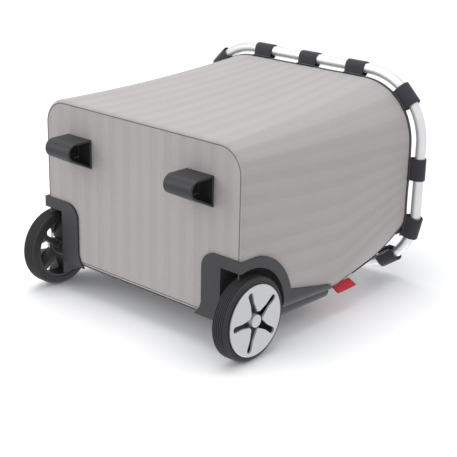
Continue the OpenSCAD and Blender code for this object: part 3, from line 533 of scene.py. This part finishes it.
def swept(rings_of, section, name, skin, closed=True, replaces=(), body="frame"):
    """A strip swept through rows: rings_of(off, dz) gives the row of points of one section
    corner; sections are closed loops."""
    rows = [rings_of(off, dz) for off, dz in section]
    n = len(rows[0])
    along = np.concatenate([[0], np.cumsum(np.linalg.norm(np.diff(rows[0], axis=0), axis=1))])
    round_section = np.concatenate([[0], np.cumsum(
        [math.dist(section[i], section[i + 1]) for i in range(len(section) - 1)])])
    points = np.concatenate(rows)
    uv = [(v * MM, along[i] * MM) for v in round_section for i in range(n)]
    faces = rows_faces(len(rows), n, closed, wrap=True)
    if not closed:
        faces += [[j * n for j in range(len(rows))], [j * n + n - 1 for j in range(len(rows))]]
    return piece(name, points, faces, skin, replaces, uv, body)


def at_edge(off, dz):
    return ring(EDGE + dz, off - 0.45 * SAG - 0.1)


BINDING = swept(at_edge, [(0.75, -1.6), (0.95, 0.0), (0.9, 2.4), (0.45, 3.6), (-0.4, 4.3),
                          (-1.6, 4.3), (-2.4, 3.6), (-2.85, 2.4), (-2.9, 0.0), (-2.6, -3.2),
                          (-1.9, -3.4), (-0.3, -1.8)],
                "edge_binding_tape", TAPE, replaces=("edge_binding",))

circle = [(math.cos(a), math.sin(a)) for a in np.linspace(0, 2 * math.pi, 9)[:-1]]
PIPING = swept(lambda off, dz: ring(BASE_Z + 0.5 + dz, off - FOLD_R + 0.3),
               [(0.85 * x, 0.85 * y) for x, y in circle], "bottom_seam_piping", SEAM)


# ---- stitches by Geometry Nodes ----------------------------------------------------------------
def stitch_tree(thread):
    """Rows of stitches along edges: named inputs Spacing, Length and Radius, in metres."""
    t = bpy.data.node_groups.new("stitch_rows", "GeometryNodeTree")
    t.interface.new_socket("Geometry", in_out="INPUT", socket_type="NodeSocketGeometry")
    for label, value in (("Spacing", 0.004), ("Length", 0.003), ("Radius", 0.0004)):
        s = t.interface.new_socket(label, in_out="INPUT", socket_type="NodeSocketFloat")
        s.default_value = value
    t.interface.new_socket("Geometry", in_out="OUTPUT", socket_type="NodeSocketGeometry")
    given = add(t, "NodeGroupInput").outputs
    curve = add(t, "GeometryNodeMeshToCurve", {"Mesh": given["Geometry"]}).outputs[0]
    spots = add(t, "GeometryNodeCurveToPoints", {"Curve": curve, "Length": given["Spacing"]},
                mode="LENGTH").outputs
    ball = add(t, "GeometryNodeMeshUVSphere", {"Segments": 8, "Rings": 6, "Radius": 1.0}
               ).outputs[0]
    half = add(t, "ShaderNodeMath", {0: given["Length"], 1: 0.5}, operation="MULTIPLY")
    size = add(t, "ShaderNodeCombineXYZ", {0: given["Radius"], 1: given["Radius"],
                                           2: half.outputs[0]}).outputs[0]
    on = add(t, "GeometryNodeInstanceOnPoints", {"Points": spots["Points"], "Instance": ball,
                                                 "Rotation": spots["Rotation"], "Scale": size})
    real = add(t, "GeometryNodeRealizeInstances", {0: on.outputs[0]}).outputs[0]
    done = add(t, "GeometryNodeSetMaterial", {"Geometry": real, "Material": thread})
    add(t, "NodeGroupOutput", {"Geometry": done.outputs[0]})
    return t


def stitches(name, lines, thread, spacing=3.2, length=2.5, radius=0.42, body="frame"):
    """Stitches along polylines given in millimetres, as one plain mesh."""
    points, edges = [], []
    for line in lines:
        start = len(points)
        points += [[c * MM for c in p] for p in line]
        edges += [(start + i, start + i + 1) for i in range(len(line) - 1)]
    mesh = bpy.data.meshes.new(name)
    mesh.from_pydata(points, edges, [])
    o = bpy.data.objects.new(name, mesh)
    bpy.context.scene.collection.objects.link(o)
    m = o.modifiers.new("stitches", "NODES")
    m.node_group = stitch_tree(thread)
    given = {i.name: i.identifier for i in m.node_group.interface.items_tree
             if i.in_out == "INPUT"}
    for label, value in (("Spacing", spacing), ("Length", length), ("Radius", radius)):
        m[given[label]] = value * MM
    applied(o)
    uv = o.data.uv_layers.new(name="flat")
    uv.data.foreach_set("uv", np.array([[o.data.vertices[c.vertex_index].co.x,
                                         o.data.vertices[c.vertex_index].co.z]
                                        for c in o.data.loops]).ravel())
    if not len(o.data.materials):
        o.data.materials.append(thread)
    tidy(o, 60)
    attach(o, body)
    return o


# ---- webbing loops -----------------------------------------------------------------------------
def tangent_angle(point, radius, side):
    """Angle on a circle about the origin of the tangent from a point."""
    return (math.atan2(point[1], point[0])
            + side * math.acos(min(1.0, radius / math.hypot(*point))))


def loop_path(radius, drop_in, drop_out):
    """Middle line of the webbing in its section: out along X, up along Z, from the outer tail
    round the tube to the inner tail."""
    low = -RIM_LIFT
    outer, inner = (-8.3, low + 1.0), (-14.1, low + 5.0)
    a0 = tangent_angle(outer, radius, 1)
    a1 = tangent_angle(inner, radius, -1)
    while a1 < a0:
        a1 += 2 * math.pi
    return ([(-8.6, low - drop_out), (-8.4, low - drop_out * 0.5), outer]
            + [(radius * math.cos(a), radius * math.sin(a)) for a in np.linspace(a0, a1, 30)]
            + [inner, (-14.0, low - drop_in * 0.5), (-13.6, low - drop_in)])


def strip(path, thick):
    """Closed section of a strip of a thickness round a middle line."""
    p = np.array(path, float)
    d = np.gradient(p, axis=0)
    d /= np.linalg.norm(d, axis=1)[:, None]
    n = np.stack([d[:, 1], -d[:, 0]], 1) * thick / 2
    return np.concatenate([p + n, (p - n)[::-1]])


def loops():
    points, faces, uv, rows = [], [], [], []
    for place, out, curved in LOOPS:
        side = np.cross((0.0, 0.0, 1.0), out)
        path = loop_path(CURVED_LOOP_R if curved else LOOP_R, TAIL_IN, TAIL_OUT)
        length = np.concatenate([[0], np.cumsum(
            np.linalg.norm(np.diff(np.array(path), axis=0), axis=1))])
        stations = [(-1.0, 0.45), (-0.985, 0.8), (-0.96, 1.0), (-0.6, 1.0), (-0.2, 1.0),
                    (0.2, 1.0), (0.6, 1.0), (0.96, 1.0), (0.985, 0.8), (1.0, 0.45)]
        start = len(points)
        m = 2 * len(path)

        def put(x, z, w):
            tail = min(1.0, max(0.0, (-z - 3) / 12)) if curved else 0.0
            return (place + out * (x - tail * w * w / (2 * TOP_R)) + side * w
                    + np.array([0, 0, RIM_Z + z]))

        for share, full in stations:
            for x, z in strip(path, WEB_T * full):
                points.append(put(x, z, share * WEB_W / 2))
            uv += [(share * WEB_W / 2 * MM, v * MM) for v in [*length, *length[::-1]]]
        k = len(stations)
        faces += rows_faces(k, m, closed=True, start=start)
        for j in (0, k - 1):
            faces += [[start + j * m + i, start + j * m + i + 1,
                       start + j * m + m - 2 - i, start + j * m + m - 1 - i]
                      for i in range(len(path) - 1)]
        rows.append([put(-8.5 + WEB_T / 2 + 0.1, -RIM_LIFT - 1.4, w)
                     for w in np.linspace(-14, 14, 12)])
        rows += [[put(-14.0 - WEB_T / 2 - 0.1, -RIM_LIFT - z, w) for w in np.linspace(-14, 14, 12)]
                 for z in (7.0, 16.0)]
    piece("rim_webbing_loops", points, faces, WEBBING, ("rim_loops",), uv, smooth=50)
    stitches("loop_stitches", rows, THREAD)


loops()


# ---- rear corner straps, seams and tag ----------------------------------------------------------
def corner_point(s, angle, z, off):
    """A point of the basket's back corner, which ring() has among its columns."""
    row = ring(z, off)
    columns = ARCS[0] if s > 0 else ARCS[3]
    start = 0 if s > 0 else sum(len(a) for a in ARCS[:3]) + sum(STRAIGHT[:3])
    angles = np.degrees([c[2] for c in columns])
    part = row[start:start + len(columns)]
    order = np.argsort(angles)
    return np.array([np.interp(angle, angles[order], part[order, i]) for i in range(3)])


def straps():
    """Webbing from the rim down the back of each corner into the seam, narrowing to its end."""
    points, faces, uv = [], [], []
    for s in (-1, 1):
        start = len(points)
        levels = np.linspace(0, 1, 18)
        across = [-1, -0.97, -0.6, -0.2, 0.2, 0.6, 0.97, 1]
        for layer in (1.0, -1.0):
            for h in levels:
                z = STRAP_LOW + (TOP_Z - STRAP_LOW) * h
                half = STRAP_END + (WEB_W / 2 - STRAP_END) * min(1.0, h * 2.2)
                for w in across:
                    angle = SEAM_ANGLE - math.degrees(w * half / (50.0 + 34.0 * h))
                    thick = 0.35 if abs(w) == 1 else 0.65
                    points.append(corner_point(s, angle, z, 1.0 + layer * thick + 1.5 * h ** 4))
                    uv.append((w * half * MM, z * MM))
        n, m = len(across), len(levels)
        faces += rows_faces(m, n, closed=False, start=start)
        faces += rows_faces(m, n, closed=False, start=start + m * n)
        rim = ([i for i in range(n)] + [j * n + n - 1 for j in range(1, m)]
               + [(m - 1) * n + i for i in range(n - 2, -1, -1)]
               + [j * n for j in range(m - 2, 0, -1)])
        faces += [[start + a, start + b, start + m * n + b, start + m * n + a]
                  for a, b in zip(rim, rim[1:] + rim[:1])]
    return piece("rear_corner_straps", points, faces, WEBBING, (), uv, smooth=60)


STRAPS = straps()

SEAM_LINES = [[corner_point(s, SEAM_ANGLE, z, 0.25) for z in np.linspace(STRIP_TOP, SEAM_TOP, 30)]
              for s in (-1, 1)]


def tubes(name, lines, radius, skin):
    points, faces, uv = [], [], []
    for line in lines:
        line = np.array(line)
        d = np.gradient(line, axis=0)
        d /= np.linalg.norm(d, axis=1)[:, None]
        a = np.cross(d, (0.31, 0.95, 0.05))
        a /= np.linalg.norm(a, axis=1)[:, None]
        b = np.cross(d, a)
        start = len(points)
        for i, p in enumerate(line):
            for x, y in circle:
                points.append(p + radius * (x * a[i] + y * b[i]))
                uv.append((math.atan2(y, x) * radius * MM, i * 3 * MM))
        faces += rows_faces(len(line), len(circle), start=start)
        faces += [[start + k for k in range(8)],
                  [start + (len(line) - 1) * 8 + k for k in range(8)]]
    return piece(name, points, faces, skin, (), uv, smooth=60)


BACK_SEAMS = tubes("back_seam_cords", SEAM_LINES, 0.8, SEAM)
STITCH_LINES = [[corner_point(s, SEAM_ANGLE - 7, z, 0.15)
                 for z in np.linspace(STRIP_TOP + 2, SEAM_TOP - 1, 30)] for s in (-1, 1)]
SEAM_STITCHES = stitches("seam_stitches", STITCH_LINES, SEAM, 3.0, 2.3, 0.3)


def tag():
    """Folded cloth label in the right back seam: two layers and a round fold, a little curled."""
    low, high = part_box("seam_tag")
    z0, z1 = low.z / MM, high.z / MM
    root = corner_point(1, SEAM_ANGLE, (z0 + z1) / 2, 0.1)
    out = np.array([math.cos(math.radians(TAG_TURN)), math.sin(math.radians(TAG_TURN)), 0.0])
    side = np.array([-out[1], out[0], 0.0])
    path = [(x, 0.55 + 0.25 * math.sin(x / 15 * math.pi)) for x in np.linspace(0, 14.2, 10)]
    path += [(14.2 + 0.6 * math.sin(a), 0.55 * math.cos(a)) for a in
             np.linspace(0.4, math.pi - 0.4, 6)]
    path += [(x, -0.55 - 0.15 * math.sin(x / 15 * math.pi)) for x in np.linspace(14.2, 0, 10)]
    section = strip(path, 0.5)
    levels = np.linspace(0, 1, 14)
    points, uv = [], []
    for h in levels:
        bend = 0.9 * math.sin(h * math.pi * 1.2 + 0.3)
        for x, y in section:
            p = root + out * x + side * (y + bend * (x / 15) ** 2)
            points.append([p[0], p[1], z0 + (z1 - z0) * h])
            uv.append((x * MM, (z1 - z0) * h * MM))
    n = len(section)
    faces = rows_faces(len(levels), n)
    m = len(path)
    for j in (0, len(levels) - 1):
        faces += [[j * n + i, j * n + i + 1, j * n + n - 2 - i, j * n + n - 1 - i]
                  for i in range(m - 1)]
    o = piece("seam_tag_cloth", points, faces, RED, ("seam_tag",), uv, smooth=60)
    lines = [[root + out * x + side * 1.15 + np.array([0, 0, z - root[2]])
              for x in np.linspace(1.5, 13.0, 6)] for z in (z0 + 2.2, z1 - 2.2)]
    return o, stitches("tag_stitches", lines, RED_THREAD, 1.8, 1.4, 0.22)


TAG, TAG_STITCHES = tag()


# ---- feet --------------------------------------------------------------------------------------
def foot_outline():
    """Side outline of a foot, as in the CAD: straight front, round nose, leaning back."""
    cy = cz = r = FOOT_NOSE
    py, pz = FOOT_L - cy, BASE_Z - cz
    lean = math.atan2(pz, py) - math.acos(r / math.hypot(py, pz))
    back = cy + r * math.cos(lean) - (BASE_Z - cz - r * math.sin(lean)) * math.tan(lean)
    line = [(0.0, z) for z in np.linspace(BASE_Z - 0.3, cz + 1, 8)]
    line += [(cy + r * math.cos(a), cz + r * math.sin(a))
             for a in np.linspace(math.pi, 2 * math.pi + lean, 30)]
    end = line[-1]
    line += [(end[0] + (back - end[0]) * s, end[1] + (BASE_Z - 0.3 - end[1]) * s)
             for s in np.linspace(0, 1, 10)[1:]]
    line += [(back * (1 - s), BASE_Z - 0.3) for s in np.linspace(0, 1, 12)[1:-1]]
    return np.array(line)


def inset(line, d):
    """A closed outline moved in by d."""
    e = np.roll(line, -1, 0) - line
    e /= np.linalg.norm(e, axis=1)[:, None]
    n = np.stack([-e[:, 1], e[:, 0]], 1)
    n0 = np.roll(n, 1, 0)
    m = n + n0
    m /= np.linalg.norm(m, axis=1)[:, None]
    c = np.clip((m * n).sum(1), 0.5, 1)
    return line + m * (d / c)[:, None]


def foot(s, name, node):
    line = foot_outline()
    half = FOOT_W / 2
    side = [(1.6, 4.2), (2.2, 3.4), (half - 1.6, 2.9), (half - 0.5, 2.75), (half - 0.05, 2.3),
            (half, 1.9), (half - 0.1, 1.2), (half - 0.6, 0.45), (half - 1.4, 0.1), (half - 2.6, 0)]
    stations = [(x, d) for x, d in side] + [(x, 0.0) for x in (12, 0, -12)]
    stations += [(-x, d) for x, d in side[::-1]]
    points, uv = [], []
    n = len(line)
    for x, d in stations:
        for y, z in inset(line, d):
            points.append([s * (FOOT_X + x), FOOT_Y + y, z])
            uv.append((x * MM, y * MM))
    faces = rows_faces(len(stations), n)
    faces += [list(range(n)), [(len(stations) - 1) * n + i for i in range(n)]]
    piece(name, points, faces, FOOT, (node,), uv, smooth=55)


foot(1, "foot_shell_right", "foot_right")
foot(-1, "foot_shell_left", "foot_left")


# ---- inner liner board -------------------------------------------------------------------------
def liner():
    low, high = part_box("back_liner")
    lo, hi = np.array(low) / MM, np.array(high) / MM
    xs, zs = np.linspace(lo[0], hi[0], 30), np.linspace(lo[2], hi[2], 40)
    points, uv = [], []
    for layer in (0, 1):
        for z in zs:
            for x in xs:
                u = (x - lo[0]) / (hi[0] - lo[0])
                v = (z - lo[2]) / (hi[2] - lo[2])
                puff = min(1.0, 12 * min(u, 1 - u, v, 1 - v) + 0.35) ** 0.5
                y = (lo[1] + hi[1]) / 2 + (layer - 0.5) * (hi[1] - lo[1]) * puff
                points.append([x, y, z])
                uv.append((x * MM, z * MM))
    n, m = len(xs), len(zs)
    faces = rows_faces(m, n, closed=False) + rows_faces(m, n, closed=False, start=n * m)
    rim = (list(range(n)) + [j * n + n - 1 for j in range(1, m)]
           + [(m - 1) * n + i for i in range(n - 2, -1, -1)] + [j * n for j in range(m - 2, 0, -1)])
    faces += [[a, b, n * m + b, n * m + a] for a, b in zip(rim, rim[1:] + rim[:1])]
    inner = lo[1] - 0.1
    line = [[lo[0] + 6, inner, lo[2] + 6], [hi[0] - 6, inner, lo[2] + 6],
            [hi[0] - 6, inner, hi[2] - 6], [lo[0] + 6, inner, hi[2] - 6],
            [lo[0] + 6, inner, lo[2] + 6]]
    cloth = woven("liner_cloth_dark", "#3d3d40", 0.0012, 0.0012)
    piece("liner_cloth_panel", points, faces, cloth, ("back_liner",), uv,
          smooth=60)
    stitches("liner_stitches", [line], THREAD, 3.5, 2.7, 0.4)


liner()


# ---- stage, light and camera ---------------------------------------------------------------------
def one_sided(name, centre, normal, size):
    """A pale floor seen from its front side only, which doesn't shade the object."""
    mesh = bpy.data.meshes.new(name)
    turn = Vector(normal).to_track_quat("Z", "Y").to_matrix().to_4x4()
    place = Matrix.Translation(centre) @ turn
    mesh.from_pydata([place @ Vector((x * size, y * size, 0)) for x, y in
                      ((-1, -1), (1, -1), (1, 1), (-1, 1))], [], [(0, 1, 2, 3)])
    o = bpy.data.objects.new(name, mesh)
    bpy.context.scene.collection.objects.link(o)
    mesh.materials.append(STAGE)
    o.visible_diffuse = o.visible_glossy = o.visible_transmission = o.visible_shadow = False


STAGE, t, s = material("pale_floor_matt", Base_Color=(0.97, 0.97, 0.97, 1), Roughness=0.9,
                       Specular_IOR_Level=0.0)
back = add(t, "ShaderNodeNewGeometry").outputs["Backfacing"]
clear = add(t, "ShaderNodeBsdfTransparent").outputs[0]
mixed = add(t, "ShaderNodeMixShader", {0: back, 1: s.outputs[0], 2: clear})
t.links.new(mixed.outputs[0], t.nodes["Material Output"].inputs["Surface"])

# Lying down, the object rests on its tyres and on the heads of the rim's clamp screws.
rest_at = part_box("clamp_screws")[1]
over_y, over_z = rest_at.y / MM - AXLE_Y, rest_at.z / MM - AXLE_Z
LIE = math.atan2(over_z, over_y) - math.acos(WHEEL_R / math.hypot(over_y, over_z))
LYING_UP = Vector((0, -math.cos(LIE), -math.sin(LIE)))
one_sided("floor_lying", Vector((0, AXLE_Y, AXLE_Z)) * MM - LYING_UP * WHEEL_R * MM, LYING_UP, 9)
one_sided("floor_upright", (0, 0, 0), (0, 0, 1), 9)


def lamp(name, place, aim, size, power, colour="#ffffff"):
    light = bpy.data.lights.new(name, "AREA")
    light.shape, light.size, light.energy = "DISK", size, power
    light.color = srgb(colour)[:3]
    o = bpy.data.objects.new(name, light)
    bpy.context.scene.collection.objects.link(o)
    o.matrix_world = (Matrix.Translation(place)
                      @ (Vector(aim) - Vector(place)).to_track_quat("-Z", "Y").to_matrix().to_4x4())
    return o


MIDDLE = (0, 0, 0.2)
lamp("key", (-0.3, -2.4, 0.1), MIDDLE, 1.8, 26)
lamp("fill_left", (-1.2, -0.9, -1.6), MIDDLE, 1.6, 10)
lamp("fill_under", (0.3, 1.9, 0.6), MIDDLE, 1.6, 6)

world = bpy.data.worlds.new("studio")
bpy.context.scene.world = world
world.use_nodes = True
world.node_tree.nodes["Background"].inputs["Color"].default_value = srgb("#f4f5f8")
world.node_tree.nodes["Background"].inputs["Strength"].default_value = 1.0

# The camera stands level over the lying floor: turned from +X about the floor's normal, looking
# down by an angle, and away from the point that it looks at.
TURN, DOWN, AWAY = math.radians(132.24), math.radians(20.98), 1.619
AIM = Vector((0.0252, 0.0610, 0.1933))
SIDEWAYS = Vector((1, 0, 0))
level = SIDEWAYS * math.cos(TURN) + LYING_UP.cross(SIDEWAYS) * math.sin(TURN)
ahead = level * math.cos(DOWN) - LYING_UP * math.sin(DOWN)
right = ahead.cross(LYING_UP).normalized()
camera = bpy.data.cameras.new("main_camera")
camera.lens, camera.sensor_width = 90.3, 36.0
camera.clip_start, camera.clip_end = 0.05, 60
eye = bpy.data.objects.new("main_camera", camera)
bpy.context.scene.collection.objects.link(eye)
eye.matrix_world = Matrix.Translation(AIM - ahead * AWAY) @ Matrix(
    (right, right.cross(ahead), -ahead)).transposed().to_4x4()
bpy.context.scene.camera = eye
bpy.context.scene.view_settings.view_transform = "Standard"
